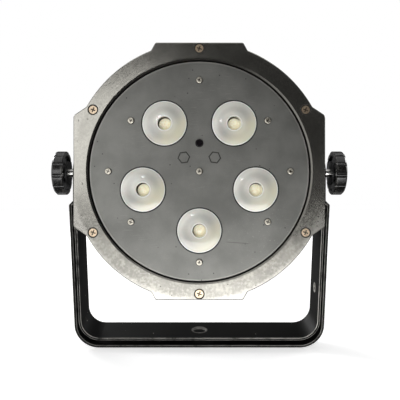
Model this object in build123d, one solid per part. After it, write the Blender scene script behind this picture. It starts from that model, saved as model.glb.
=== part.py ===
from build123d import *
import os
from math import asin, cos, radians, sin, sqrt, tan

# A slim LED par light on a twin hanging bracket, as its separate pieces.
#
# Every piece is drawn about the tilt axis: the axis is X, the light shines along -Y and +Z is up.
# The finished pieces are moved together at the end, so that the origin is the middle of the
# clamp hole in the outer bracket. Lengths are in millimetres and angles in degrees.

# Depths along the light, from the tilt axis: the front is negative.
FRONT_Y = -35.0
RING_T = 3.2
PLATE_RECESS = 3.0
PLATE_T = 2.0
BOARD_FRONT_Y = -13.5
REAR_Y = 45.0
REAR_PANEL_T = 2.0
FOOT_T = 4.0

# Front ring, a circle with a squared tab on each side
RING_R = 113.0
RING_HALF_W = 109.4
RING_HALF_H = 111.8
SIDE_TAB_HALF = 48.4
SIDE_TAB_FOOT = (98.3, 55.8)
END_TAB_HALF = 38.1
END_TAB_FOOT = (42.0, 104.8)
OPENING_R = 97.2
OPENING_BEVEL = 1.3
LIP_T = 2.0
LIP_DEPTH = 7.0
RING_SCREW_R = 106.7
RING_SCREWS = 6

# Front plate and what shows in it
PLATE_R = 96.0
LENSES = 5
LENS_CIRCLE = 51.8
LENS_R = 19.3
LENS_HOLE_R = 20.1
LENS_WELL_R = 5.9
POST_AXIS_R = 79.5
POST_CORNER = (59.7, 44.2)
WINDOW_Z = 24.6
WINDOW_R = 3.7
NUT_X, NUT_Z = 13.5, 12.1
NUT_FLATS = 8.8

# Housing
BODY_FRONT_R = 106.5
BODY_REAR_R = 102.0
BODY_END_R = 94.0
BODY_FLAT_X = 104.2
WALL = 2.4
BOSS_FACE_X = 108.2
BOSS_R = 20.0
BOSS_CORE_R = 9.5
BOSS_DEPTH = 20.0
FLANGE_T = 3.0
FLANGE_INSET = 1.2
REAR_PANEL_R = 90.6
REAR_SCREW_R = 86.5
PIVOT_WASHER_T = 1.2

# Brackets: half widths are to the inner face of an arm, lengths are along the arm from the axis
TILT = 10.7
STRAP_T = 2.5
STRAP_HALF_W = 18.5
INNER_EAR_X, INNER_HALF_W, INNER_DROP, INNER_JOG = 109.7, 112.0, 156.0, 31.0
OUTER_EAR_X, OUTER_HALF_W, OUTER_DROP, OUTER_JOG = 112.5, 116.2, 163.5, 24.0
INNER_BEND_R, OUTER_BEND_R = 17.0, 20.0
EAR_R = 14.0
CLAMP_HOLE_R = 6.25
ARM_HOLE_R, ARM_HOLE_DROP = 3.5, 112.0
STUD_HOLE_R = 4.3

# Knobs
STUD_R = 4.0
STUD_PITCH = 1.25
STUD_TIP_X = 98.0
KNOB_FACE_X = 123.2
KNOB_T = 10.0
KNOB_R = 20.2
KNOB_SLOTS = 12
KNOB_WASHER_T = 1.5
INSERT_R = 5.6
INSERT_L = 14.0

# Heat path and cooling
BOARD_T = 1.6
PAD_T = 0.5
SINK_BASE_T = 4.0
SINK_R = 87.5
FIN_T = 1.8
FIN_PITCH = 9.0
FIN_TIP_Y = 6.0
FAN_SIZE = 60.0
FAN_T = 15.0
FAN_BOLT = 25.0
BLADES = 7
CIRCUIT_Y = 10.0

# Rear panel layout, as (x, z)
DISPLAY_AT = (0.0, 58.0)
DISPLAY_SIZE = (54.0, 20.0)
BUTTON_XS = (-24.0, -8.0, 8.0, 24.0)
BUTTON_Z = 38.0
BUTTON_R = 3.0
DMX_AT = (62.0, 8.0)
POWER_AT = (36.0, -46.0)
FUSE_AT = (0.0, -60.0)
FOOT_AT = (50.0, 66.0)
EYE_HOLE_Z = 108.0
EYE_HOLE_R = 5.0

PLATE_FRONT_Y = FRONT_Y + PLATE_RECESS
PLATE_BACK_Y = PLATE_FRONT_Y + PLATE_T
FLANGE_Y = FRONT_Y + RING_T
SINK_FRONT_Y = BOARD_FRONT_Y + BOARD_T + PAD_T
SINK_BACK_Y = SINK_FRONT_Y + SINK_BASE_T
PANEL_Y = REAR_Y - REAR_PANEL_T
CLAMP_DROP = OUTER_DROP + STRAP_T / 2
ORIGIN = (0.0, CLAMP_DROP * sin(radians(TILT)), -CLAMP_DROP * cos(radians(TILT)))


def rod(radius, y0, y1, at=(0, 0)):
    """A cylinder along the light, from y0 to y1."""
    return Pos(at[0], (y0 + y1) / 2, at[1]) * Rot(90, 0, 0) * Cylinder(radius, abs(y1 - y0))


def cross_rod(radius, x0, x1, y=0.0, z=0.0):
    """A cylinder along the tilt axis, from x0 to x1."""
    return Pos((x0 + x1) / 2, y, z) * Rot(0, 90, 0) * Cylinder(radius, abs(x1 - x0))


def block(x, y, z):
    """A box between the two ends given for each axis."""
    size = (x[1] - x[0], y[1] - y[0], z[1] - z[0])
    return Pos((x[0] + x[1]) / 2, (y[0] + y[1]) / 2, (z[0] + z[1]) / 2) * Box(*size)


def shape(points):
    """A closed outline through the points, always taken anticlockwise so that outlines join cleanly."""
    turns = sum(x0 * z1 - x1 * z0 for (x0, z0), (x1, z1) in zip(points, points[1:] + points[:1]))
    return Polygon(*(points if turns > 0 else points[::-1]), align=None)


def slab(outline, y0, y1):
    """An outline drawn in front view, given its depth from y0 to y1."""
    return Pos(0, y1, 0) * extrude(Plane.XZ * outline, y1 - y0, dir=(0, -1, 0))


def turned(points):
    """A profile of (radius, y) points turned round the light's own axis."""
    return revolve(make_face(Polyline(*points, close=True)), Axis.Y)


def on_circle(radius, count, first):
    """Places evenly round a circle, as (x, z)."""
    return [
        (radius * cos(radians(first + 360 * i / count)), radius * sin(radians(first + 360 * i / count)))
        for i in range(count)
    ]


def cross_slot(width, length, y0, y1, at):
    """The cross recess of a screw head."""
    wide = block((-length, length), (y0, y1), (-width, width))
    tall = block((-width, width), (y0, y1), (-length, length))
    return Pos(at[0], 0, at[1]) * Rot(0, 20, 0) * (wide + tall)


def pan_screw(at, seat_y, end_y, shank_r, way=1):
    """A pan-head cross screw. Its shank runs from the seat to end_y, and way is +1 towards +Y."""
    head_r, head_h = shank_r * 1.9, shank_r * 1.2
    top = seat_y - way * head_h
    head = rod(head_r, min(top, seat_y), max(top, seat_y), at)
    circles = head.edges().filter_by(GeomType.CIRCLE).group_by(Axis.Y)
    head = fillet(circles[0 if way > 0 else -1], head_h * 0.45)
    recess = sorted((top - way, top + way * head_h * 0.6))
    shank = rod(shank_r, min(seat_y, end_y), max(seat_y, end_y), at)
    return head - cross_slot(shank_r * 0.26, shank_r * 1.05, *recess, at) + shank


def flat_screw(at, face_y, end_y, shank_r, head_r):
    """A countersunk cross screw, flush with face_y."""
    cone_y = face_y + 2.2
    cone = turned([(0, face_y), (head_r, face_y), (head_r, face_y + 0.4), (shank_r, cone_y), (0, cone_y)])
    body = Pos(at[0], 0, at[1]) * cone + rod(shank_r, cone_y, end_y, at)
    return body - cross_slot(0.55, head_r * 0.62, face_y - 1, face_y + 1.3, at)


def mirrored(corner):
    """The points of one corner, repeated in order round all four."""
    x_up, x_down = corner, corner[::-1]
    return (
        x_up + [(-x, z) for x, z in x_down] + [(-x, -z) for x, z in x_up] + [(x, -z) for x, z in x_down]
    )


def ring_outline(inset=0.0):
    """The ring's outer edge: a circle cut by flats, with a tab on each of four sides."""
    half_w, half_h = RING_HALF_W - inset, RING_HALF_H - inset
    side_x, side_z = SIDE_TAB_FOOT[0] - inset, SIDE_TAB_FOOT[1] - inset
    end_x, end_z = END_TAB_FOOT[0] - inset, END_TAB_FOOT[1] - inset
    core = Circle(RING_R - inset) & Rectangle(2 * half_w, 2 * half_h)
    side = shape(mirrored([(half_w, SIDE_TAB_HALF - inset), (side_x, side_z)]))
    end = shape(mirrored([(end_x, end_z), (END_TAB_HALF - inset, half_h)]))
    side = fillet(side.vertices().group_by(Axis.X)[0] + side.vertices().group_by(Axis.X)[-1], 4)
    end = fillet(end.vertices().group_by(Axis.Y)[0] + end.vertices().group_by(Axis.Y)[-1], 2)
    return core + side + end


def lens_places():
    return on_circle(LENS_CIRCLE, LENSES, 270)


def post_places():
    """Nine posts hold the front plate: four on the axes, four at the corners and one in the middle."""
    cx, cz = POST_CORNER
    return on_circle(POST_AXIS_R, 4, 0) + [(sx * cx, sz * cz) for sx in (-1, 1) for sz in (-1, 1)] + [(0, 0)]


def front_ring():
    ring = slab(ring_outline(), FRONT_Y, FLANGE_Y)
    ring = chamfer(ring.faces().sort_by(Axis.Y)[0].edges(), 0.7)
    ring += rod(OPENING_R + LIP_T, FRONT_Y + 1, FRONT_Y + LIP_DEPTH)
    ring -= rod(OPENING_R, FRONT_Y - 1, FRONT_Y + LIP_DEPTH + 1)
    bevel = turned([
        (0, FRONT_Y), (OPENING_R + OPENING_BEVEL, FRONT_Y), (OPENING_R, FRONT_Y + OPENING_BEVEL),
        (0, FRONT_Y + OPENING_BEVEL),
    ])
    ring -= bevel
    for at in on_circle(RING_SCREW_R, RING_SCREWS, 30):
        ring -= rod(4.3, FRONT_Y - 1, FRONT_Y + 0.6, at) + rod(3.7, FRONT_Y, FRONT_Y + 1.0, at)
        ring -= Pos(at[0], 0, at[1]) * turned([
            (0, FRONT_Y + 0.9), (3.7, FRONT_Y + 0.9), (2.0, FRONT_Y + 2.7),
            (2.0, FLANGE_Y + 1), (0, FLANGE_Y + 1),
        ])
    return ring


def ring_screws():
    places = on_circle(RING_SCREW_R, RING_SCREWS, 30)
    return [flat_screw(at, FRONT_Y + 0.5, FLANGE_Y + 9, 2.0, 3.7) for at in places]


def front_plate():
    plate = rod(PLATE_R, PLATE_FRONT_Y, PLATE_BACK_Y)
    plate = chamfer(plate.edges().filter_by(GeomType.CIRCLE).group_by(Axis.Y)[0], 0.4)
    for at in lens_places():
        plate -= rod(LENS_HOLE_R, PLATE_FRONT_Y - 1, PLATE_BACK_Y + 1, at)
    for at in post_places():
        plate -= rod(1.5, PLATE_FRONT_Y - 1, PLATE_BACK_Y + 1, at)
    plate -= rod(WINDOW_R, PLATE_FRONT_Y - 1, PLATE_BACK_Y + 1, (0, WINDOW_Z))
    for nut in nut_prisms(PLATE_FRONT_Y - 1, PLATE_BACK_Y + 1):
        plate -= nut
    return plate


def nut_prisms(y0, y1):
    outline = RegularPolygon(NUT_FLATS / 2, 6, major_radius=False)
    return [Pos(sx * NUT_X, 0, NUT_Z) * Rot(0, 8 * sx, 0) * slab(outline, y0, y1) for sx in (-1, 1)]


def clinch_nuts():
    """Two blind hexagonal nuts pressed into the plate, closed at the front."""
    nuts = []
    for sx, nut in zip((-1, 1), nut_prisms(PLATE_FRONT_Y - 0.3, PLATE_BACK_Y + 1.6)):
        nut = chamfer(nut.faces().sort_by(Axis.Y)[0].edges(), 0.35)
        nuts.append(nut - rod(2.1, PLATE_FRONT_Y + 0.9, PLATE_BACK_Y + 2, (sx * NUT_X, NUT_Z)))
    return nuts


def plate_screws():
    return [pan_screw(at, PLATE_FRONT_Y, SINK_FRONT_Y + 3, 1.5) for at in post_places()]


def plate_posts():
    """Round spacers between the front plate and the LED board."""
    return [
        rod(3.5, PLATE_BACK_Y, BOARD_FRONT_Y, at) - rod(1.5, PLATE_BACK_Y - 1, BOARD_FRONT_Y + 1, at)
        for at in post_places()
    ]


def ir_window():
    dome = Pos(0, PLATE_FRONT_Y, 0) * Sphere(WINDOW_R) & rod(WINDOW_R, PLATE_FRONT_Y - 2.6, PLATE_FRONT_Y)
    window = dome + rod(WINDOW_R, PLATE_FRONT_Y, PLATE_BACK_Y) + rod(5.0, PLATE_BACK_Y, PLATE_BACK_Y + 1.2)
    return Pos(0, 0, WINDOW_Z) * window


def ir_receiver():
    back = BOARD_FRONT_Y
    body = block((-3, 3), (back - 13, back - 8), (-3.5, 3.5))
    for x in (-2.0, 0.0, 2.0):
        body += block((x - 0.3, x + 0.3), (back - 8, back), (-0.3, 0.3))
    return Pos(0, 0, WINDOW_Z) * body


def lens():
    """A collimator: a cone of clear plastic with a shallow domed face and a well in the middle."""
    foot_y, rim_y = BOARD_FRONT_Y - 1.5, PLATE_FRONT_Y
    floor_y, floor_rise = rim_y + 6.5, 1.5
    # The well's floor is part of a ball, so that it stays a true sphere in the written file.
    ball_r = (LENS_WELL_R**2 + floor_rise**2) / (2 * floor_rise)
    ball_y = floor_y - floor_rise + ball_r
    half_turn = asin(LENS_WELL_R / ball_r) / 2
    mid_floor = (ball_r * sin(half_turn), ball_y - ball_r * cos(half_turn))
    with BuildSketch() as half:
        with BuildLine():
            Polyline((0, floor_y - floor_rise), (0, foot_y - 5.5), (4.0, foot_y - 5.5),
                     (4.6, foot_y), (8.0, foot_y))
            ThreePointArc((8.0, foot_y), (15.4, foot_y - 8.5), (LENS_R, rim_y + 1.4))
            Line((LENS_R, rim_y + 1.4), (LENS_R, rim_y - 0.4))
            ThreePointArc((LENS_R, rim_y - 0.4), (13.0, rim_y - 1.5), (6.9, rim_y - 1.9))
            Polyline((6.9, rim_y - 1.9), (6.2, rim_y - 1.9), (LENS_WELL_R, rim_y - 1.5),
                     (LENS_WELL_R, floor_y))
            ThreePointArc((LENS_WELL_R, floor_y), mid_floor, (0, floor_y - floor_rise))
        make_face()
    return revolve(half.sketch, Axis.Y)


def lens_carrier():
    """One moulding that seats all the lenses: a web on the board and a cup round each lens."""
    foot_y = BOARD_FRONT_Y - 1.5
    carrier = rod(84, foot_y, BOARD_FRONT_Y)
    for at in lens_places():
        carrier += rod(21.4, PLATE_BACK_Y, foot_y, at)
    for at in lens_places():
        carrier -= rod(LENS_R + 0.3, PLATE_BACK_Y - 1, foot_y, at)
        carrier -= rod(5.0, foot_y - 1, BOARD_FRONT_Y + 1, at)
    for at in post_places():
        carrier -= rod(3.5, foot_y - 1, BOARD_FRONT_Y + 1, at)
    return carrier - rod(5.5, foot_y - 1, BOARD_FRONT_Y + 1, (0, WINDOW_Z))


def led_emitters():
    """Square LED packages, each with its own small dome."""
    emitters = []
    for at in lens_places():
        base = block((-3.4, 3.4), (BOARD_FRONT_Y - 1.2, BOARD_FRONT_Y), (-3.4, 3.4))
        dome = Pos(0, BOARD_FRONT_Y - 1.2, 0) * Sphere(2.8) & rod(3.2, BOARD_FRONT_Y - 5, BOARD_FRONT_Y - 1)
        emitters.append(Pos(at[0], 0, at[1]) * (base + dome))
    return emitters


def drill_posts(piece, y0, y1):
    for at in post_places():
        piece -= rod(1.5, y0, y1, at)
    return piece


def led_board():
    return drill_posts(rod(86, BOARD_FRONT_Y, BOARD_FRONT_Y + BOARD_T), BOARD_FRONT_Y - 1, SINK_FRONT_Y)


def thermal_pad():
    return drill_posts(rod(84, BOARD_FRONT_Y + BOARD_T, SINK_FRONT_Y), BOARD_FRONT_Y, SINK_FRONT_Y + 1)


def sink_ear_places():
    return on_circle(SINK_R + 5, 4, 45)


def fan_posts():
    return [(sx * FAN_BOLT, sz * FAN_BOLT) for sx in (-1, 1) for sz in (-1, 1)]


def circuit_posts():
    """Screw posts for the driver board above the fan and the supply board below it."""
    return [(sx * 48, sz * z) for sx in (-1, 1) for sz, z in ((1, 40), (1, 70), (-1, 40), (-1, 70))]


def heatsink():
    sink = rod(SINK_R, SINK_FRONT_Y, SINK_BACK_Y)
    for at in sink_ear_places():
        root = (at[0] * 0.93, at[1] * 0.93)
        sink += rod(6.0, SINK_FRONT_Y, SINK_BACK_Y, at) + rod(7.5, SINK_FRONT_Y, SINK_BACK_Y, root)
    fins = int((SINK_R - 8) // FIN_PITCH)
    for i in range(-fins, fins + 1):
        x = i * FIN_PITCH
        half = sqrt((SINK_R - 4) ** 2 - x * x)
        sink += block((x - FIN_T / 2, x + FIN_T / 2), (SINK_BACK_Y - 0.1, FIN_TIP_Y), (-half, half))
    for at in fan_posts():
        sink += rod(3.5, SINK_BACK_Y, FIN_TIP_Y, at)
    for at in circuit_posts():
        sink += rod(3.5, SINK_BACK_Y, CIRCUIT_Y, at)
        sink -= rod(1.5, CIRCUIT_Y - 7, CIRCUIT_Y + 1, at)
    for at in fan_posts():
        sink -= rod(1.5, FIN_TIP_Y - 6, FIN_TIP_Y + 1, at)
    for at in post_places():
        sink -= rod(1.5, SINK_FRONT_Y - 1, SINK_FRONT_Y + 3, at)
    for at in sink_ear_places():
        sink -= rod(1.5, SINK_FRONT_Y - 1, SINK_BACK_Y + 1, at)
    return sink


def heatsink_screws():
    return [pan_screw(at, SINK_FRONT_Y, SINK_BACK_Y + 5, 1.5) for at in sink_ear_places()]


def fan_frame():
    back = FIN_TIP_Y + FAN_T
    half = FAN_SIZE / 2
    frame = block((-half, half), (FIN_TIP_Y, back), (-half, half))
    frame = fillet(frame.edges().filter_by(Axis.Y), 4)
    frame -= rod(28.5, FIN_TIP_Y - 1, back - 2.5)
    opening = rod(28.5, back - 3, back + 1)
    struts = rod(16, back - 3, back + 1)
    for angle in (45, 135, 225, 315):
        struts += Rot(0, angle, 0) * block((0, 30), (back - 3, back + 1), (-2, 2))
    frame -= opening - struts
    frame += rod(1.5, FIN_TIP_Y + 2, back - 2.5)
    for at in fan_posts():
        frame -= rod(1.5, FIN_TIP_Y - 1, back + 1, at)
    return frame


def fan_rotor():
    front, back = FIN_TIP_Y + 2, FIN_TIP_Y + FAN_T - 3.2
    hub = rod(15, front, back) - rod(1.56, front - 1, back + 1)
    blade = Pos(21, (front + back) / 2, 0) * Rot(38, 0, 0) * Box(13, 1.4, 12)
    blade &= rod(27.6, front, back)
    for i in range(BLADES):
        hub += Rot(0, 360 * i / BLADES, 0) * blade
    return hub - rod(12.8, back - 4, back + 1) + (rod(4, front, back) - rod(1.56, front - 1, back + 1))


def fan_screws():
    return [pan_screw(at, FIN_TIP_Y + FAN_T, FIN_TIP_Y - 6, 1.5, way=-1) for at in fan_posts()]


def circuit_board(z0, z1, parts):
    """A rear circuit board. Its parts are (x, z, half width, half height, rise), round if the height is 0."""
    top = CIRCUIT_Y + BOARD_T
    board = block((-56, 56), (CIRCUIT_Y, top), (z0, z1))
    for x, z, half_x, half_z, rise in parts:
        if half_z:
            board += block((x - half_x, x + half_x), (top, top + rise), (z - half_z, z + half_z))
        else:
            board += rod(half_x, top, top + rise, (x, z))
    for at in circuit_posts():
        board -= rod(1.5, CIRCUIT_Y - 1, top + 1, at)
    return board


def led_driver_board():
    coils = [(x, 52, 6.5, 0, 8) for x in (-32, -16, 0, 16, 32)]
    chips = [(x, 66, 3.0, 2.5, 1.5) for x in (-32, -16, 0, 16, 32)]
    return circuit_board(34, 76, coils + chips + [(0, 39.5, 10, 2.5, 6)])


def power_supply_board():
    blocks = [(-24, -50, 13, 11, 10), (24, -58, 9, 7, 9), (39, -45, 5, 5, 7)]
    cans = [(12, -46, 6, 0, 9), (-38, -68, 5, 0, 8)]
    return circuit_board(-76, -34, blocks + cans)


def board_screws():
    """Screws of the driver and supply boards, and of the control board on the rear panel."""
    inner = [pan_screw(at, CIRCUIT_Y + BOARD_T, CIRCUIT_Y - 7, 1.5, way=-1) for at in circuit_posts()]
    return inner + [pan_screw(at, 32.0, 37.0, 1.5) for at in control_posts()]


def control_posts():
    return [(sx * 35, z) for sx in (-1, 1) for z in (36, 67)]


def control_board():
    board = block((-39, 39), (32.0, 32.0 + BOARD_T), (31, 71))
    for x in BUTTON_XS:
        board += block((x - 3, x + 3), (33.6, 36.0), (BUTTON_Z - 3, BUTTON_Z + 3))
        board += rod(1.6, 36.0, 36.8, (x, BUTTON_Z))
    board += block((-12, 12), (27.0, 32.0), (60, 68))
    for at in control_posts():
        board -= rod(1.5, 31, 35, at)
    return board


def display_module():
    x, z = DISPLAY_AT
    half_w, half_h = DISPLAY_SIZE[0] / 2 - 2, DISPLAY_SIZE[1] / 2 - 1
    return block((x - half_w, x + half_w), (33.6, PANEL_Y - 0.2), (z - half_h, z + half_h))


def display_window():
    x, z = DISPLAY_AT
    half_w, half_h = DISPLAY_SIZE[0] / 2, DISPLAY_SIZE[1] / 2
    window = block((x - half_w, x + half_w), (PANEL_Y, REAR_Y - 0.3), (z - half_h, z + half_h))
    return fillet(window.edges().filter_by(Axis.Y), 1.5)


def menu_button(x):
    """A push button with a collar that keeps it behind the panel."""
    cap = rod(BUTTON_R, 37.7, REAR_Y + 1.2, (x, BUTTON_Z)) + rod(4.2, 40.0, 41.5, (x, BUTTON_Z))
    return fillet(cap.edges().filter_by(GeomType.CIRCLE).group_by(Axis.Y)[-1], 0.6)


def housing_shell():
    """The cast body: a tapering drum with a front flange, pivot bosses, screw bosses and vents."""
    neck_y, shoulder_y = FLANGE_Y + FLANGE_T, 31.0
    bore_r = OPENING_R + LIP_T + 0.4
    outer = turned([
        (0, FLANGE_Y), (BODY_FRONT_R, FLANGE_Y), (BODY_FRONT_R, neck_y), (BODY_REAR_R, shoulder_y),
        (BODY_END_R, REAR_Y), (0, REAR_Y),
    ])
    outer &= block((-BODY_FLAT_X, BODY_FLAT_X), (FLANGE_Y, REAR_Y), (-200, 200))
    flange = slab(ring_outline(FLANGE_INSET), FLANGE_Y, neck_y)
    shell = outer + flange
    for sx in (-1, 1):
        shell += cross_rod(BOSS_R, sx * (BODY_FLAT_X - 3), sx * BOSS_FACE_X)
    for at in on_circle(RING_SCREW_R, RING_SCREWS, 30):
        shell += rod(4.4, FLANGE_Y, FLANGE_Y + 15, at)
    hollow = turned([
        (0, FLANGE_Y - 1), (bore_r, FLANGE_Y - 1), (bore_r, neck_y + 2),
        (BODY_REAR_R - WALL, shoulder_y - 2), (BODY_END_R - WALL, PANEL_Y - 2.5),
        (REAR_SCREW_R - 5, PANEL_Y - 2.5), (REAR_SCREW_R - 5, PANEL_Y), (REAR_PANEL_R, PANEL_Y),
        (REAR_PANEL_R, REAR_Y + 1), (0, REAR_Y + 1),
    ])
    hollow &= block((-(BODY_FLAT_X - WALL), BODY_FLAT_X - WALL), (-100, 100), (-200, 200))
    shell -= hollow
    for sx in (-1, 1):
        shell += cross_rod(BOSS_CORE_R, sx * (BOSS_FACE_X - BOSS_DEPTH), sx * (BODY_FLAT_X - 1))
    for at in sink_ear_places():
        lug = rod(5.5, SINK_BACK_Y, SINK_BACK_Y + 8, at)
        lug += rod(5.5, SINK_BACK_Y, SINK_BACK_Y + 8, (at[0] * 1.06, at[1] * 1.06))
        shell += lug
    for at in on_circle(REAR_SCREW_R, 6, 0):
        shell += rod(4.0, PANEL_Y - 10, PANEL_Y, at)
    for sx in (-1, 1):
        shell -= cross_rod(INSERT_R, sx * (BOSS_FACE_X - BOSS_DEPTH + 2), sx * (BOSS_FACE_X + 1))
    for at in on_circle(RING_SCREW_R, RING_SCREWS, 30):
        shell -= rod(2.0, FLANGE_Y - 1, FLANGE_Y + 9, at)
    for at in sink_ear_places():
        shell -= rod(1.5, SINK_BACK_Y - 1, SINK_BACK_Y + 5, at)
    for at in on_circle(REAR_SCREW_R, 6, 0):
        shell -= rod(1.5, PANEL_Y - 7, PANEL_Y + 1, at)
    return shell - vents()


def vents():
    """Air slots through the body wall, above and below."""
    slots = None
    for centre in (90, 270):
        for i in (-5, -4, -3, -2, 2, 3, 4, 5):
            slot = Rot(0, -(centre + 6 * i), 0) * block((96, 112), (2, 28), (-1.7, 1.7))
            slots = slot if slots is None else slots + slot
    return slots


def rear_panel():
    panel = rod(REAR_PANEL_R, PANEL_Y, REAR_Y)
    for at in control_posts():
        panel += rod(3.0, 33.6, PANEL_Y, at) - rod(1.5, 33, 37.0, at)
    for at in on_circle(REAR_SCREW_R, 6, 0):
        panel -= rod(1.5, PANEL_Y - 1, REAR_Y + 1, at)
    for sz in (-1, 0, 1):
        reach = 25.0
        for i in range(-3, 4):
            x = i * 7.0
            half = sqrt(reach**2 - x * x) / 3 - 1.6
            mid = sz * (2 * half + 3.2)
            panel -= block((x - 1.7, x + 1.7), (PANEL_Y - 1, REAR_Y + 1), (mid - half, mid + half))
    panel -= display_window()
    for x in BUTTON_XS:
        panel -= rod(BUTTON_R + 0.35, PANEL_Y - 1, REAR_Y + 1, (x, BUTTON_Z))
    for sx in (-1, 1):
        panel -= rod(12.1, PANEL_Y - 1, REAR_Y + 1, (sx * DMX_AT[0], DMX_AT[1]))
        panel -= power_body(sx, PANEL_Y - 1, REAR_Y + 1)
    panel -= latch_slot(PANEL_Y - 1, REAR_Y + 1)
    for at in connector_screw_places() + eye_screw_places():
        panel -= rod(1.5, PANEL_Y - 1, REAR_Y + 1, at)
    return panel - rod(6.4, PANEL_Y - 1, REAR_Y + 1, FUSE_AT)


def rear_screws():
    return [pan_screw(at, REAR_Y, PANEL_Y - 7, 1.5, way=-1) for at in on_circle(REAR_SCREW_R, 6, 0)]


def rubber_feet():
    fx, fz = FOOT_AT
    feet = []
    for sx in (-1, 1):
        for sz in (-1, 1):
            foot = rod(7, REAR_Y, REAR_Y + FOOT_T, (sx * fx, sz * fz))
            feet.append(fillet(foot.edges().filter_by(GeomType.CIRCLE).group_by(Axis.Y)[-1], 1.2))
    return feet


def dmx_flange(sx):
    x, z = sx * DMX_AT[0], DMX_AT[1]
    plate = block((x - 13, x + 13), (REAR_Y, REAR_Y + 2), (z - 15.5, z + 15.5))
    plate = fillet(plate.edges().filter_by(Axis.Y), 3)
    return plate + rod(12.0, 27, REAR_Y + 1, (x, z))


def dmx_input():
    """The male three-pin socket."""
    x, z = -DMX_AT[0], DMX_AT[1]
    body = dmx_flange(-1) - rod(9.6, 31, REAR_Y + 3, (x, z))
    for px, pz in on_circle(3.6, 3, 90):
        body += rod(1.2, 30.5, REAR_Y - 1, (x + px, z + pz))
    return drill_flange(body, -1)


def dmx_output():
    """The female three-hole socket, with a slot above it for the latch."""
    x, z = DMX_AT
    body = dmx_flange(1) - (rod(9.6, 31, REAR_Y + 3, (x, z)) - rod(7.8, 30, REAR_Y + 1, (x, z)))
    for px, pz in on_circle(3.6, 3, 270):
        body -= rod(1.3, 33, REAR_Y + 3, (x + px, z + pz))
    return drill_flange(body - latch_slot(34, REAR_Y + 3), 1)


def latch_slot(y0, y1):
    x, z = DMX_AT
    return block((x - 3.9, x + 3.9), (y0, y1), (z + 9.7, z + 13.6))


def drill_flange(body, sx):
    for at in connector_screw_places():
        if at[0] * sx > 0:
            body -= rod(1.5, 30, REAR_Y + 3, at)
    return body


def dmx_output_latch():
    x, z = DMX_AT
    latch = block((x - 3.5, x + 3.5), (37, REAR_Y + 2.8), (z + 10.0, z + 13.3))
    return fillet(latch.edges().filter_by(Axis.X).group_by(Axis.Y)[-1], 0.8)


def connector_screw_places():
    """Two screws to each signal socket, corner to corner, and two beside each power socket."""
    dx, dz = DMX_AT
    px, pz = POWER_AT
    signal = [(sx * dx + s * 9.8, dz - s * 12.2) for sx in (-1, 1) for s in (-1, 1)]
    return signal + [(sx * px + s * 20, pz) for sx in (-1, 1) for s in (-1, 1)]


def connector_screws():
    return [pan_screw(at, REAR_Y + 2, PANEL_Y - 3, 1.5, way=-1) for at in connector_screw_places()]


def power_body(sx, y0, y1):
    """The body of a power socket, with two corners cut off."""
    x, z = sx * POWER_AT[0], POWER_AT[1]
    body = block((x - 13.6, x + 13.6), (y0, y1), (z - 9.9, z + 9.9))
    return chamfer(body.edges().filter_by(Axis.Y).group_by(Axis.Z)[-1], 4)


def power_socket(sx):
    x, z = sx * POWER_AT[0], POWER_AT[1]
    flange = block((x - 24, x + 24), (REAR_Y, REAR_Y + 2), (z - 12, z + 12))
    flange = fillet(flange.edges().filter_by(Axis.Y), 5)
    return drill_flange(flange + power_body(sx, 24, REAR_Y + 1), sx)


def power_inlet():
    """The inlet: three flat pins in a deep well."""
    x, z = -POWER_AT[0], POWER_AT[1]
    well = block((x - 12.1, x + 12.1), (28, REAR_Y + 3), (z - 8.3, z + 8.3))
    well = chamfer(well.edges().filter_by(Axis.Y).group_by(Axis.Z)[-1], 3.4)
    inlet = power_socket(-1) - well
    for px, pz in ((-7, -2), (0, 2), (7, -2)):
        inlet += block((x + px - 1, x + px + 1), (27, REAR_Y - 4), (z + pz - 2, z + pz + 2))
    return inlet


def power_outlet():
    """The through outlet: a block with three slots, inside a moat."""
    x, z = POWER_AT
    moat = block((x - 12.3, x + 12.3), (29, REAR_Y + 3), (z - 8.6, z + 8.6))
    core = block((x - 9.9, x + 9.9), (28, REAR_Y + 1), (z - 6.2, z + 6.2))
    outlet = power_socket(1) - (moat - core)
    for px, pz in ((-6, -1.5), (0, 2), (6, -1.5)):
        outlet -= block((x + px - 1.2, x + px + 1.2), (32, REAR_Y + 3), (z + pz - 2.2, z + pz + 2.2))
    return outlet


def fuse_holder():
    holder = rod(6.2, 20, REAR_Y, FUSE_AT) + rod(8, REAR_Y, REAR_Y + 1.5, FUSE_AT)
    return holder - rod(5.4, 36, REAR_Y + 2, FUSE_AT) - rod(3.2, 21, REAR_Y, FUSE_AT)


def fuse():
    return rod(2.6, 22.5, 41.5, FUSE_AT)


def fuse_cap():
    """The screw cap: a slotted head, and a neck that grips the end of the fuse."""
    head_y = REAR_Y + 1.8
    cap = rod(6.6, head_y, head_y + 1.8, FUSE_AT) + rod(5.1, 38, head_y, FUSE_AT)
    cap -= rod(2.65, 37, 41.8, FUSE_AT)
    x, z = FUSE_AT
    return cap - block((x - 7, x + 7), (head_y + 0.8, head_y + 3), (z - 0.7, z + 0.7))


def eye_screw_places():
    return [(sx * 7, 75.5) for sx in (-1, 1)]


def safety_eye():
    """A steel tab behind the rear panel, whose hole takes the hook of a safety wire."""
    tab = block((-12, 12), (REAR_Y, REAR_Y + 2), (70, EYE_HOLE_Z))
    tab += rod(12, REAR_Y, REAR_Y + 2, (0, EYE_HOLE_Z))
    for at in eye_screw_places():
        tab -= rod(1.5, REAR_Y - 1, REAR_Y + 3, at)
    return tab - rod(EYE_HOLE_R, REAR_Y - 1, REAR_Y + 3, (0, EYE_HOLE_Z))


def eye_screws():
    return [pan_screw(at, REAR_Y + 2, PANEL_Y - 3, 1.5, way=-1) for at in eye_screw_places()]


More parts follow.
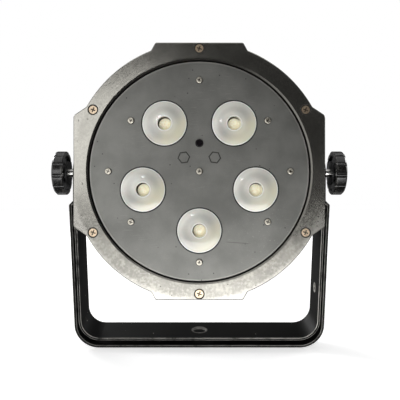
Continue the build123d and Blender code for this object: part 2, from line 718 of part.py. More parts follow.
def pivot_inserts():
    """Threaded metal inserts in the two side bosses."""
    return [
        cross_rod(INSERT_R, sx * (BOSS_FACE_X - INSERT_L), sx * BOSS_FACE_X)
        - cross_rod(STUD_R + 0.06, sx * (BOSS_FACE_X - INSERT_L - 1), sx * (BOSS_FACE_X + 1))
        for sx in (-1, 1)
    ]


def pivot_washers():
    """Friction washers between the bosses and the inner bracket."""
    return [
        cross_rod(13, sx * BOSS_FACE_X, sx * (BOSS_FACE_X + PIVOT_WASHER_T))
        - cross_rod(STUD_HOLE_R, sx * (BOSS_FACE_X - 1), sx * (BOSS_FACE_X + PIVOT_WASHER_T + 1))
        for sx in (-1, 1)
    ]


def strap_side(ear_x, half_w, drop, jog, bend_r, grow):
    """The space inside a bracket, or the space its outer faces bound when grow is the strap's thickness."""
    top = EAR_R + 1
    low = jog + (half_w - ear_x)
    shift = grow * tan(radians(22.5))
    right = [
        (ear_x + grow, top), (ear_x + grow, shift - jog),
        (half_w + grow, shift - low), (half_w + grow, -drop - grow),
    ]
    outline = shape(right + [(-x, z) for x, z in reversed(right)])
    return fillet(outline.vertices().group_by(Axis.Y)[0], bend_r + grow)


def arm_outline(jog, drop):
    """One arm seen from the side: a round ear at the pivot that widens into the strap."""
    wide_z, end_z = -(jog + 4), -(drop + 20)
    edge = [(EAR_R, 0), (STRAP_HALF_W, wide_z), (STRAP_HALF_W, end_z)]
    return Circle(EAR_R) + shape(edge + [(-y, z) for y, z in reversed(edge)])


def bracket(ear_x, half_w, drop, jog, bend_r):
    """A U of flat steel strap, joggled inwards at its ears and tilted back about the axis."""
    outside = strap_side(ear_x, half_w, drop, jog, bend_r, STRAP_T)
    inside = strap_side(ear_x, half_w, drop, jog, bend_r, 0)
    strap = slab(outside - inside, -STRAP_HALF_W, STRAP_HALF_W)
    strap &= Pos(-130, 0, 0) * extrude(Plane.YZ * arm_outline(jog, drop), 260, dir=(1, 0, 0))
    strap -= cross_rod(STUD_HOLE_R, -130, 130)
    strap -= Pos(0, 0, -drop) * Cylinder(CLAMP_HOLE_R, 12)
    return strap


def tilted(piece):
    return Rot(TILT, 0, 0) * piece


def inner_bracket():
    strap = bracket(INNER_EAR_X, INNER_HALF_W, INNER_DROP, INNER_JOG, INNER_BEND_R)
    return tilted(strap - cross_rod(ARM_HOLE_R, 100, 130, 0, -ARM_HOLE_DROP))


def outer_bracket():
    return tilted(bracket(OUTER_EAR_X, OUTER_HALF_W, OUTER_DROP, OUTER_JOG, OUTER_BEND_R))


def knob_grip(sx):
    """A round black grip with slots round its edge and a socket for the stud."""
    face, end = sx * KNOB_FACE_X, sx * (KNOB_FACE_X + KNOB_T)
    grip = cross_rod(KNOB_R, face, end)
    ends = grip.edges().filter_by(GeomType.CIRCLE).sort_by(Axis.X)
    inner_edge, outer_edge = (ends[0], ends[-1]) if sx > 0 else (ends[-1], ends[0])
    grip = chamfer(outer_edge, 1.6)
    grip = chamfer(grip.edges().filter_by(GeomType.CIRCLE).sort_by(Axis.X)[0 if sx > 0 else -1], 0.5)
    grip -= cross_rod(16.5, face - sx, face + sx * 2.0) - cross_rod(8.0, face - 2 * sx, face + sx * 3.0)
    for i in range(KNOB_SLOTS):
        turn = radians(360 * i / KNOB_SLOTS + 10)
        grip -= cross_rod(1.7, face - sx, end + sx, (KNOB_R + 0.1) * cos(turn), (KNOB_R + 0.1) * sin(turn))
    return grip - cross_rod(STUD_R, face - sx, face + sx * (KNOB_T - 2))


def knob_stud(sx):
    """The knob's steel stud, with its thread as rings on the length that shows."""
    tip, root = STUD_TIP_X, KNOB_FACE_X + KNOB_T - 2
    stud = cross_rod(STUD_R, sx * tip, sx * root)
    first = 113.0
    for i in range(int((KNOB_FACE_X - first) / STUD_PITCH)):
        x = first + i * STUD_PITCH
        core = cross_rod(STUD_R - 0.5, sx * (x - 1), sx * (x + 2))
        stud -= cross_rod(STUD_R + 1, sx * x, sx * (x + 0.55)) - core
    return chamfer(stud.edges().filter_by(GeomType.CIRCLE).sort_by(Axis.X)[0 if sx > 0 else -1], 0.8)


def knob_washer(sx):
    return cross_rod(11, sx * (KNOB_FACE_X - KNOB_WASHER_T), sx * KNOB_FACE_X) - cross_rod(
        STUD_R + 0.06, sx * (KNOB_FACE_X - 3), sx * (KNOB_FACE_X + 1)
    )


def pieces():
    """Every piece by name. A list is one kind of piece repeated."""
    made = {
        "front_ring": front_ring(), "ring_screws": ring_screws(), "front_plate": front_plate(),
        "clinch_nuts": clinch_nuts(), "plate_screws": plate_screws(), "plate_posts": plate_posts(),
        "ir_window": ir_window(), "ir_receiver": ir_receiver(), "lens_carrier": lens_carrier(),
        "led_emitters": led_emitters(), "led_board": led_board(), "thermal_pad": thermal_pad(),
        "heatsink": heatsink(), "heatsink_screws": heatsink_screws(), "fan_frame": fan_frame(),
        "fan_rotor": fan_rotor(), "fan_screws": fan_screws(), "led_driver_board": led_driver_board(),
        "power_supply_board": power_supply_board(), "board_screws": board_screws(),
        "control_board": control_board(), "display_module": display_module(),
        "display_window": display_window(), "housing_shell": housing_shell(), "rear_panel": rear_panel(),
        "rear_screws": rear_screws(), "rubber_feet": rubber_feet(), "dmx_input": dmx_input(),
        "dmx_output": dmx_output(), "dmx_output_latch": dmx_output_latch(), "power_inlet": power_inlet(),
        "power_outlet": power_outlet(), "connector_screws": connector_screws(), "fuse_holder": fuse_holder(),
        "fuse": fuse(), "fuse_cap": fuse_cap(), "safety_eye": safety_eye(), "eye_screws": eye_screws(),
        "pivot_inserts": pivot_inserts(), "pivot_washers": pivot_washers(), "inner_bracket": inner_bracket(),
        "outer_bracket": outer_bracket(),
    }
    for i, at in enumerate(lens_places(), 1):
        made[f"lens_{i}"] = Pos(at[0], 0, at[1]) * lens()
    for i, x in enumerate(BUTTON_XS, 1):
        made[f"menu_button_{i}"] = menu_button(x)
    for side, sx in (("left", -1), ("right", 1)):
        made[f"{side}_knob_grip"] = knob_grip(sx)
        made[f"{side}_knob_stud"] = knob_stud(sx)
        made[f"{side}_knob_washer"] = knob_washer(sx)
    return made


def solids_of(piece):
    """The solids of one piece, or of every piece in a list."""
    if isinstance(piece, list):
        return [solid for each in piece for solid in each.solids()]
    return list(piece.solids())


def main():
    os.makedirs("parts", exist_ok=True)
    to_origin = Pos(-ORIGIN[0], -ORIGIN[1], -ORIGIN[2])
    for name, piece in pieces().items():
        solids = [to_origin * solid for solid in solids_of(piece)]
        export_step(solids[0] if len(solids) == 1 else Compound(children=solids), f"parts/{name}.step")


main()
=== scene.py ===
"""Finishes, small details and studio for a slim LED par light, laid over its fixed frame."""

import math

import bmesh
import bpy
from bpy.props import FloatProperty, FloatVectorProperty, PointerProperty
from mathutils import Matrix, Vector


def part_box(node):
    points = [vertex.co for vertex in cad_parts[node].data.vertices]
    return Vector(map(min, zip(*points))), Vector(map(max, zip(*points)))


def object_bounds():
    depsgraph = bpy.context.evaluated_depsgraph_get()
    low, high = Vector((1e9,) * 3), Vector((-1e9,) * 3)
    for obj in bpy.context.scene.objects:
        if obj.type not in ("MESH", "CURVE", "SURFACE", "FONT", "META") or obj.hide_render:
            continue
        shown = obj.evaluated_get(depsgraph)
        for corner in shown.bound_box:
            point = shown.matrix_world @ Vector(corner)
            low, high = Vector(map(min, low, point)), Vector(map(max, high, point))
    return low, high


bl_info = {
    "name": "Slim Par Light Finishes",
    "version": (1, 0, 0),
    "blender": (4, 5, 0),
    "location": "3D View > Sidebar > Par Light",
    "description": "Dresses the pieces of a slim LED par light and sets up its studio",
    "category": "Object",
}

MM = 0.001

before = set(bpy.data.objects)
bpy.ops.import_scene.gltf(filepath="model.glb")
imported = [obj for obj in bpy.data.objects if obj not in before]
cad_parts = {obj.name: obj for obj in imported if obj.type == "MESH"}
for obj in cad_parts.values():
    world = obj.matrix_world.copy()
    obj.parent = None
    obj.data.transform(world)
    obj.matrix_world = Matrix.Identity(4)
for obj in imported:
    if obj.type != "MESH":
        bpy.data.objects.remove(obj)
FRAME_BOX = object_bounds()


def middle(node):
    """The middle of a frame piece's box."""
    low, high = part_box(node)
    return (low + high) / 2


# The tilt axis runs along X through the middle of the knobs.
AXIS = Vector((0, middle("left_knob_grip").y, middle("left_knob_grip").z))
RING_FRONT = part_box("front_ring")[0].y
PLATE_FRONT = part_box("front_plate")[0].y
FLOOR_Z = FRAME_BOX[0][2]

# Sizes on the front. Those of the ring, the plate and the nuts are from the tilt axis.
RING_SCREW_R = 106.7 * MM
OPENING_R = 97.2 * MM
PLATE_R = 96.0 * MM
PLATE_SCREW_R = 79.5 * MM
PLATE_SCREW_CORNER = (59.7 * MM, 44.2 * MM)
NUT_X, NUT_Z = 13.5 * MM, 12.1 * MM
NUT_FLATS = 8.8 * MM
LENS_R = 19.3 * MM
LENS_HOLE_R = 20.1 * MM
LENS_WELL_R = 5.9 * MM

# Sizes of the knobs, and of the straps and their holes.
KNOB_R = 20.2 * MM
KNOB_FACE_X = 123.2 * MM
STRAP_T = 2.5 * MM
STRAP_HALF_W = 18.5 * MM
CLAMP_HOLE_R = 6.25 * MM
ARM_HOLE_R = 3.5 * MM
ARM_HOLE_DROP = 112 * MM
# Each strap's outer half width, its depth below the tilt axis, and the radius of its bends.
STRAP_PATHS = {
    "inner_bracket": (114.5 * MM, 158.5 * MM, 19.5 * MM),
    "outer_bracket": (118.7 * MM, 166.0 * MM, 22.5 * MM),
}
LENSES = [f"lens_{i}" for i in range(1, 6)]
# The straps hang forward at this angle from upright.
STRAP_TILT = math.atan2(-AXIS.y, AXIS.z)
STRAP_AHEAD = Vector((0, -math.cos(STRAP_TILT), -math.sin(STRAP_TILT)))

CAMERA_X = 0.6 * MM
FLOOR_GAP = 0.5 * MM


# ------------------------------------------------------------------ shader building


class Signal:
    """A shader socket that can be used in sums. Each operation adds one Math node."""

    def __init__(self, finish, socket):
        self.finish = finish
        self.socket = socket

    def out(self, name):
        """Another output of the same node."""
        return Signal(self.finish, self.socket.node.outputs[name])

    def math(self, operation, *others):
        values = dict(enumerate((self, *others)))
        return self.finish.node("ShaderNodeMath", {"operation": operation}, values)

    def __add__(self, other):
        return self.math("ADD", other)

    __radd__ = __add__

    def __sub__(self, other):
        return self.math("SUBTRACT", other)

    def __rsub__(self, other):
        return (self * -1.0) + other

    def __mul__(self, other):
        return self.math("MULTIPLY", other)

    __rmul__ = __mul__

    def __truediv__(self, other):
        return self.math("DIVIDE", other)

    def __pow__(self, other):
        return self.math("POWER", other)

    def least(self, other):
        return self.math("MINIMUM", other)

    def most(self, other):
        return self.math("MAXIMUM", other)

    def size(self):
        return self.math("ABSOLUTE")

    def from_to(self, low, high):
        """0 below low, 1 above high and smooth between. High may be under low."""
        return self.finish.node(
            "ShaderNodeMapRange", {"interpolation_type": "SMOOTHSTEP"},
            {"Value": self, "From Min": low, "From Max": high},
        )


class Shader:
    """Nodes under construction, for a material or for the surroundings."""

    def __init__(self, owner, coordinates):
        owner.use_nodes = True
        self.tree = owner.node_tree
        self.tree.nodes.clear()
        self.place = self.node("ShaderNodeTexCoord").out(coordinates)
        parts = self.node("ShaderNodeSeparateXYZ", None, {0: self.place})
        self.x, self.y, self.z = (parts.out(axis) for axis in "XYZ")

    def node(self, kind, settings=None, inputs=None):
        """Adds a node: its settings first, then the values or links of its sockets."""
        node = self.tree.nodes.new(kind)
        for name, value in (settings or {}).items():
            setattr(node, name, value)
        for key, value in (inputs or {}).items():
            if isinstance(value, Signal):
                self.tree.links.new(value.socket, node.inputs[key])
            else:
                node.inputs[key].default_value = value
        return Signal(self, node.outputs[0]) if node.outputs else None


class Finish(Shader):
    """A material, with the patterns that the light's finishes are made of."""

    def __init__(self, name):
        self.material = bpy.data.materials.new(name)
        super().__init__(self.material, "Object")

    def stretched(self, scale, turn=(0, 0, 0)):
        """The place in the object, turned and scaled."""
        values = {"Vector": self.place, "Rotation": turn, "Scale": scale}
        return self.node("ShaderNodeMapping", None, values)

    def noise(self, grain, detail=3.0, rough=0.55, along=None, bend=0.0):
        """Cloudy noise, about 0.5 on average, whose grain is a length in metres."""
        values = {
            "Vector": along or self.place, "Scale": 1 / grain, "Detail": detail, "Roughness": rough,
            "Distortion": bend,
        }
        return self.node("ShaderNodeTexNoise", {"noise_dimensions": "3D"}, values)

    def cells(self, grain, feature="F1"):
        """Distance to the nearest of many scattered points, in grains."""
        values = {"Vector": self.place, "Scale": 1 / grain}
        return self.node("ShaderNodeTexVoronoi", {"feature": feature}, values)

    def blend(self, mask, first, second):
        """One colour turning into another where the mask is 1."""
        first, second = (c if isinstance(c, Signal) else (*c, 1.0) for c in (first, second))
        # The Mix node's colours are inputs 6 and 7 and its output 2.
        mix = self.node("ShaderNodeMix", {"data_type": "RGBA"}, {0: mask, 6: first, 7: second})
        return mix.out(2)

    def relief(self, height, depth):
        """A bump whose height signal runs over depth metres."""
        values = {"Height": height, "Strength": 1.0, "Distance": depth}
        return self.node("ShaderNodeBump", None, values)

    def scratches(self, angle, spread, length, amount):
        """Thin broken lines across the front at an angle in degrees: 1 on a line, 0 off it."""
        turned = self.stretched((1 / length, 1 / length, 1 / spread), (0, math.radians(angle), 0))
        lines = self.node("ShaderNodeTexNoise", None, {"Vector": turned, "Scale": 1.0, "Detail": 1.0})
        patches = self.noise(0.035, 1.0).from_to(0.5, 0.62)
        return lines.from_to(0.70 - amount, 0.76 - amount) * patches

    def from_point(self, center):
        """Distance in the front view from a point, in metres."""
        return ((self.x - center.x) ** 2.0 + (self.z - center.z) ** 2.0) ** 0.5

    def from_nearest(self, centers):
        """Distance in the front view from the nearest of some points, in metres."""
        closest = self.from_point(centers[0])
        for center in centers[1:]:
            closest = closest.least(self.from_point(center))
        return closest

    def near(self, centers, reach, edge):
        """1 within reach of any of the front-view points, 0 beyond, with a soft edge."""
        return self.from_nearest(centers).from_to(reach + edge, reach)

    def surface(self, color, roughness, metallic=0.0, normal=None, **extra):
        """The shader itself. Extra sockets are named in lower case, as coat_weight."""
        values = {"Roughness": roughness, "Metallic": metallic}
        values["Base Color"] = color if isinstance(color, Signal) else (*color, 1.0)
        if normal:
            values["Normal"] = normal
        for name, value in extra.items():
            values[name.replace("_", " ").title().replace("Ior", "IOR")] = value
        shader = self.node("ShaderNodeBsdfPrincipled", None, values)
        self.node("ShaderNodeOutputMaterial", None, {"Surface": shader})
        return self.material


# ------------------------------------------------------------------ finishes


def speckled(name, color, roughness, metallic=0.0, grain=0.9, depth=0.03, vary=0.25, **extra):
    """A plain finish with fine grain, slight cloudiness and uneven gloss."""
    f = Finish(name)
    fine = f.noise(grain * MM, 4.0)
    broad = f.noise(14 * MM, 2.0)
    dark = tuple(c * (1 - vary) for c in color)
    light = tuple(min(1.0, c * (1 + vary)) for c in color)
    tone = f.blend((fine * 0.5 + broad * 0.5).from_to(0.3, 0.7), dark, light)
    shine = broad * 0.16 + (roughness - 0.08)
    return f.surface(tone, shine, metallic, f.relief(fine, depth * MM), **extra)


def ring_coating(scene):
    """Dark satin coat on cast metal: cloudy, pitted, scuffed and rubbed along its edges."""
    tints, wear = scene.par_finish, scene.par_wear
    f = Finish("ring_coating")
    fine = f.noise(0.5 * MM, 4.0, 0.7)
    mottle = f.noise(2.6 * MM, 4.0, 0.6)
    broad = f.noise(30 * MM, 2.0)
    body = tuple(tints.ring)
    dull = tuple(c * 0.88 for c in body)
    pale = tuple(min(1.0, c * 1.12) for c in body)
    color = f.blend((mottle * 0.5 + broad * 0.5).from_to(0.34, 0.66), dull, pale)
    # Rubbed edge: outside the screw circle the coat thins. This pale edge, and the pale patches below, are
    # stronger towards the bottom.
    out = f.from_point(AXIS)
    low = f.z.from_to(AXIS.z + 0.02, AXIS.z - 0.11)
    edge = (out + mottle * 5 * MM).from_to(111 * MM, 115.5 * MM)
    scuffs = f.scratches(24, 0.45 * MM, 9 * MM, 0.02).most(f.scratches(-38, 0.4 * MM, 7 * MM, 0.0))
    rubbed = (edge * (low * 0.8 + 0.2)).most(scuffs * 0.5) * wear.ring
    color = f.blend(rubbed, color, tuple(tints.bare_metal))
    # Pale patches, stronger towards the bottom.
    pale_low_patches = (mottle * 0.4 + f.noise(9 * MM, 4.0, 0.7) * 0.6).from_to(0.46, 0.62) * low * low
    color = f.blend(pale_low_patches * 0.3, color, (0.80, 0.77, 0.69))
    pits = f.cells(4.2 * MM).from_to(0.17, 0.08) * f.noise(11 * MM, 1.0).from_to(0.52, 0.6)
    color = f.blend(pits * 0.8, color, (0.03, 0.028, 0.025))
    # Painted shade fills the countersinks.
    painted_recess_shade = f.near(ring_screw_places(), 4.5 * MM, 0.3 * MM)
    # The wall of the opening, behind its bright bevel, is darkened with painted shade.
    wall = out.from_to(OPENING_R + 0.4 * MM, OPENING_R + 0.1 * MM)
    wall = wall * (f.y - RING_FRONT).from_to(1.2 * MM, 1.5 * MM)
    painted_recess_shade = painted_recess_shade.most(wall)
    color = f.blend(painted_recess_shade, color, (0.012, 0.01, 0.008))
    shine = mottle * 0.06 + broad * 0.05 + low * 0.13 + pale_low_patches * 0.08 + (tints.ring_gloss - 0.07)
    bumps = f.relief(fine + mottle * 0.4 - pits * 2.0, 0.012 * MM)
    return f.surface(color, shine.most(painted_recess_shade * 0.7), (1 - painted_recess_shade) * tints.ring_metal, bumps)


def ring_screw_places():
    """Six, evenly round the opening."""
    angles = [math.radians(30 + 60 * i) for i in range(6)]
    return [AXIS + Vector((math.cos(a), 0, math.sin(a))) * RING_SCREW_R for a in angles]


def plate_coating(scene):
    """Satin dark coat on sheet metal: fine scratches, dust and a few larger scuffs."""
    tints, wear = scene.par_finish, scene.par_wear
    f = Finish("plate_coating")
    fine = f.noise(0.35 * MM, 3.0, 0.6)
    broad = f.noise(26 * MM, 3.0)
    body = tuple(tints.plate)
    color = f.blend((fine * 0.35 + broad * 0.65).from_to(0.36, 0.64), tuple(c * 0.86 for c in body),
                    tuple(c * 1.14 for c in body))
    marks = f.scratches(34, 0.22 * MM, 16 * MM, -0.02)
    for angle, amount in ((-52, -0.01), (71, -0.02)):
        marks = marks.most(f.scratches(angle, 0.2 * MM, 13 * MM, amount))
    # Handling marks gather between the lower lenses.
    worn = f.near([AXIS + Vector((0.052, 0, -0.052))], 8 * MM, 30 * MM)
    dust = (f.noise(2.4 * MM, 5.0, 0.75).from_to(0.58, 0.72)) * (worn * 0.7 + 0.12)
    rim = f.from_point(AXIS).from_to(PLATE_R - 1.8 * MM, PLATE_R - 0.4 * MM)
    # One long scrape runs outwards from the lowest lens.
    scrape = (f.z - (AXIS.z - 0.0615) + (f.x - 0.02) * 0.07).size().from_to(0.35 * MM, 0.15 * MM)
    scrape = scrape * f.x.from_to(0.022, 0.026) * f.x.from_to(0.046, 0.040)
    pale = (marks * 0.4).most(dust * 0.6).most(rim * 0.45) * wear.plate
    color = f.blend(pale, color, tuple(tints.bare_metal))
    flecks_and_shade = f.cells(9 * MM).from_to(0.075, 0.045)
    # Painted shade rings the screw heads and the edges of the lens holes; the nuts' seams are dark joints.
    flecks_and_shade = flecks_and_shade.most(f.near(plate_screw_places(), 2.9 * MM, 0.5 * MM)).most(nut_seams(f))
    flecks_and_shade = flecks_and_shade.most(f.near([middle(lens) for lens in LENSES], LENS_HOLE_R + 0.2 * MM, 0.25 * MM))
    color = f.blend(flecks_and_shade.most(scrape * 0.6) * 0.8, color, (0.025, 0.025, 0.022))
    shine = broad * 0.12 + fine * 0.08 + (tints.plate_gloss - 0.1)
    return f.surface(color, shine, tints.plate_metal, f.relief(fine - marks, 0.015 * MM))


def plate_screw_places():
    """Four on the axes, one in the middle and four at the corners."""
    reach = PLATE_SCREW_R
    corner_x, corner_z = PLATE_SCREW_CORNER
    axes = [(reach, 0), (-reach, 0), (0, reach), (0, -reach), (0, 0)]
    corners = [(x * corner_x, z * corner_z) for x in (-1, 1) for z in (-1, 1)]
    return [AXIS + Vector((x, 0, z)) for x, z in axes + corners]


def nut_seams(f):
    """The dark hexagonal line round each pressed-in nut."""
    seams = None
    for side in (-1, 1):
        x, z = f.x - (AXIS.x + side * NUT_X), f.z - (AXIS.z + NUT_Z)
        reach = None
        for angle in (0, 60, 120):
            turn = math.radians(angle + 90 - 8 * side)
            across = (x * math.cos(turn) + z * math.sin(turn)).size()
            reach = across if reach is None else reach.most(across)
        seam = (reach - (NUT_FLATS / 2 + 0.02 * MM)).size().from_to(0.62 * MM, 0.35 * MM)
        seams = seam if seams is None else seams.most(seam)
    return seams


def strap_coating(scene, node):
    """Black satin coat on bent strap, worn to bright metal along the front edge and round holes."""
    tints, wear = scene.par_finish, scene.par_wear
    f = Finish(f"{node}_coating")
    fine = f.noise(0.6 * MM, 3.0, 0.6)
    broad = f.noise(18 * MM, 3.0)
    body = tuple(tints.strap)
    color = f.blend(broad.from_to(0.35, 0.65), tuple(c * 0.7 for c in body), tuple(c * 1.5 for c in body))
    ahead = (f.y - AXIS.y) * STRAP_AHEAD.y + (f.z - AXIS.z) * STRAP_AHEAD.z
    patchy = f.noise(9 * MM, 3.0, 0.55).from_to(0.22, 0.56)
    worn = wear.strap if node == "inner_bracket" else wear.strap * 0.5
    edge = ahead.size().from_to(STRAP_HALF_W - 0.6 * MM, STRAP_HALF_W - 0.2 * MM)
    right = f.x.from_to(-0.06, 0.10)
    chips = f.cells(7 * MM).from_to(0.10, 0.05) * f.noise(20 * MM, 1.0).from_to(0.55, 0.65)
    drop = (f.z - AXIS.z) * math.cos(STRAP_TILT) - (f.y - AXIS.y) * math.sin(STRAP_TILT)
    # How far a point is from the strap's outer face, round the two bends.
    half_w, depth, bend = STRAP_PATHS[node]
    across = f.x.size() - (half_w - bend)
    below = 0.0 - drop - (depth - bend)
    outer = (across.most(0.0) ** 2.0 + below.most(0.0) ** 2.0) ** 0.5 + across.most(below).least(0.0) - bend
    corner = (outer + STRAP_T / 2).size().from_to(0.55 * MM, 0.9 * MM)
    edge = edge * corner * patchy * (right * 0.4 + 0.6)
    from_hole = (f.x ** 2.0 + ahead ** 2.0) ** 0.5
    round_hole = from_hole.from_to(CLAMP_HOLE_R + 2.35 * MM, CLAMP_HOLE_R + 0.35 * MM)
    round_hole = round_hole * drop.from_to(-0.14, -0.15)
    bright = edge.most(chips * 0.8).most(round_hole * patchy * 0.5)
    if node == "inner_bracket":
        # Only this strap has the small hole, in its right arm.
        from_arm_hole = ((drop + ARM_HOLE_DROP) ** 2.0 + ahead ** 2.0) ** 0.5
        round_arm = from_arm_hole.from_to(ARM_HOLE_R + 2.1 * MM, ARM_HOLE_R + 0.4 * MM)
        bright = bright.most(round_arm * f.x.from_to(0.108, 0.110))
    bright = bright * worn
    color = f.blend(bright, color, tuple(tints.bare_metal))
    shine = broad * 0.2 + fine * 0.1 + (tints.strap_gloss - 0.15)
    return f.surface(color, shine, bright * 0.8, f.relief(fine - bright * 0.6, 0.03 * MM),
                     specular_ior_level=0.10)


def powder_coat(scene, name):
    """Black powder coat with its fine orange-peel, greyed a little by dust."""
    tints = scene.par_finish
    f = Finish(name)
    peel = f.noise(1.1 * MM, 2.0, 0.5)
    fine = f.noise(0.3 * MM, 2.0)
    dust = f.noise(22 * MM, 4.0, 0.6).from_to(0.45, 0.7)
    body = tuple(tints.housing)
    color = f.blend(dust * 0.35, body, tuple(min(1.0, c * 2.2 + 0.01) for c in body))
    return f.surface(color, dust * 0.1 + peel * 0.15 + 0.36, 0.0, f.relief(peel + fine * 0.4, 0.06 * MM))


def knob_plastic(scene):
    """Hard black moulding, polished on the ribs by hands, with greyish scuffs."""
    tints, wear = scene.par_finish, scene.par_wear
    f = Finish("knob_plastic")
    fine = f.noise(0.5 * MM, 3.0, 0.6)
    out = ((f.y - AXIS.y) ** 2.0 + (f.z - AXIS.z) ** 2.0) ** 0.5
    patchy = f.noise(1.2 * MM, 3.0, 0.7).from_to(0.56, 0.66)
    ribs = out.from_to(KNOB_R - 1.2 * MM, KNOB_R - 0.3 * MM) * patchy
    rim = f.x.size().from_to(KNOB_FACE_X + 2.4 * MM, KNOB_FACE_X + 1.0 * MM)
    rim = rim * out.from_to(KNOB_R - 2.7 * MM, KNOB_R - 1.6 * MM)
    scuffed = ribs.most(rim * f.noise(5 * MM, 2.0).from_to(0.42, 0.58)) * wear.knob
    color = f.blend(fine.from_to(0.35, 0.65), tuple(c * 0.7 for c in tints.knob), tuple(tints.knob))
    color = f.blend(scuffed, color, (0.30, 0.29, 0.27))
    return f.surface(color, fine * 0.12 + 0.22, 0.0, f.relief(fine, 0.015 * MM), coat_weight=0.4,
                     coat_roughness=0.1)


def lens_plastic(scene, node):
    """Milky moulded optic: pearly face with painted reflections, painted highlights on the lips and rim,
    painted shade in the well, warm floor.
    """
    tints = scene.par_finish
    f = Finish(f"{node}_plastic")
    center = middle(node)
    out = f.from_point(center)
    ripple = f.noise(2.6 * MM, 3.0, 0.6, bend=0.6)
    broad = f.noise(9 * MM, 2.0)
    pearl, warm = tuple(tints.lens), tuple(tints.lens_warm)
    grey = tuple(c * 0.66 for c in pearl)
    # Painted reflections of the reflector behind the face: soft rings and a fan of lighter and darker wedges.
    painted_reflector_rings = out.from_to(7.5 * MM, 12 * MM) - out.from_to(13 * MM, 17.5 * MM)
    x, z = f.x - center.x, f.z - center.z
    fan = (x * z) / (out * out + 1e-6) * 2.0
    color = f.blend(painted_reflector_rings * 0.55 + fan * 0.35 + ripple * 0.3 - 0.1, pearl, grey)
    # Painted reflection: each lens is warmer towards its lower right.
    painted_warm_reflection = (x - z).from_to(-2 * MM, 20 * MM)
    color = f.blend(painted_warm_reflection * (broad * 0.6 + 0.35), color, warm)
    # Painted highlights: a bright rim at the lens's edge and a bright lip round the well.
    rim = out.from_to(LENS_R - 1.0 * MM, LENS_R - 0.4 * MM)
    painted_lip_highlight = out.from_to(LENS_WELL_R, LENS_WELL_R + 0.3 * MM)
    painted_lip_highlight = painted_lip_highlight * out.from_to(LENS_WELL_R + 1.4 * MM, LENS_WELL_R + 0.9 * MM)
    color = f.blend(rim.most(painted_lip_highlight) * 0.85, color, (0.93, 0.92, 0.87))
    # Inside the well: painted shade darkens the wall where it meets the face, more towards the upper left,
    # and rings the floor's edge; the floor shows the warm emitter.
    deep = (f.y - PLATE_FRONT).from_to(-0.9 * MM, -0.1 * MM)
    inside = out.from_to(LENS_WELL_R + 0.2 * MM, LENS_WELL_R + 0.05 * MM) * deep
    spots = f.cells(1.5 * MM, "SMOOTH_F1").from_to(0.15, 0.75)
    floor_tone = f.blend(spots, (0.72, 0.68, 0.50), (0.95, 0.90, 0.70))
    floor_edge_shade = out.from_to(LENS_WELL_R - 1.4 * MM, LENS_WELL_R - 1.0 * MM)
    floor_tone = f.blend(floor_edge_shade, floor_tone, (0.60, 0.57, 0.47))
    wall = (out + (z - x) * 0.09).from_to(LENS_WELL_R - 0.4 * MM, LENS_WELL_R)
    floor_tone = f.blend(wall * 0.95, floor_tone, (0.05, 0.045, 0.035))
    color = f.blend(inside, color, floor_tone)
    # A faint glow stands in for light that scatters through the clear body to the well's floor.
    leak = f.blend(inside * (1 - wall), (0, 0, 0), (0.90, 0.84, 0.62))
    bumps = f.relief(ripple, 0.05 * MM)
    return f.surface(color, ripple * 0.12 + 0.16, 0.0, bumps, coat_weight=0.6, coat_roughness=0.08,
                     subsurface_weight=0.12, subsurface_scale=0.004, emission_color=leak,
                     emission_strength=0.30)


def screw_metal(name, color, centers, reach, cross_y, cross_reach):
    """Plated screw heads, with painted shade in the cross, which lies behind cross_y, and round the edge."""
    f = Finish(name)
    fine = f.noise(0.4 * MM, 3.0, 0.6)
    tarnish = f.noise(1.6 * MM, 3.0).from_to(0.4, 0.66)
    closest = f.from_nearest(centers)
    cross = (f.y - cross_y).from_to(0, 0.15 * MM) * closest.from_to(cross_reach, cross_reach * 0.9)
    painted_screw_shade = closest.from_to(reach * 0.88, reach).most(cross)
    tone = f.blend(tarnish * 0.6, color, tuple(c * 0.55 for c in color))
    tone = f.blend(painted_screw_shade * 0.9, tone, (0.03, 0.02, 0.012))
    return f.surface(tone, fine * 0.2 + 0.24, 1 - painted_screw_shade * 0.6, f.relief(fine, 0.02 * MM))


def dark_glass(name, color):
    """Dark glossy window with a faint smear."""
    f = Finish(name)
    smear = f.noise(2 * MM, 3.0, 0.6)
    return f.surface(f.blend(smear, tuple(c * 0.6 for c in color), color), smear * 0.1 + 0.04,
                     0.0, f.relief(smear, 0.01 * MM), coat_weight=0.5, coat_roughness=0.03)


def drawn_metal(name, color, roughness, along=(1, 1, 1)):
    """Bare metal with fine lines in one direction."""
    f = Finish(name)
    lines = f.noise(0.35 * MM, 3.0, 0.6, along=f.stretched(along))
    broad = f.noise(9 * MM, 2.0)
    tone = f.blend((lines * 0.6 + broad * 0.4).from_to(0.3, 0.7), tuple(c * 0.78 for c in color), color)
    return f.surface(tone, broad * 0.12 + lines * 0.12 + (roughness - 0.12), 1.0, f.relief(lines, 0.015 * MM))


def solder_mask(name, color, track):
    """A circuit board's lacquer, with lighter tracks showing through."""
    f = Finish(name)
    tracks = f.cells(3.6 * MM, "DISTANCE_TO_EDGE").from_to(0.10, 0.06)
    fine = f.noise(0.8 * MM, 2.0)
    tone = f.blend(tracks * 0.6, f.blend(fine, tuple(c * 0.85 for c in color), color), track)
    return f.surface(tone, fine * 0.1 + 0.28, 0.0, f.relief(tracks, 0.03 * MM))


# ------------------------------------------------------------------ helpers for the pieces


def dress(nodes, material):
    """Gives frame pieces a material."""
    for node in [nodes] if isinstance(nodes, str) else nodes:
        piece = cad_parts[node]
        if not piece.material_slots:
            piece.data.materials.append(material)
        for slot in piece.material_slots:
            slot.material = material


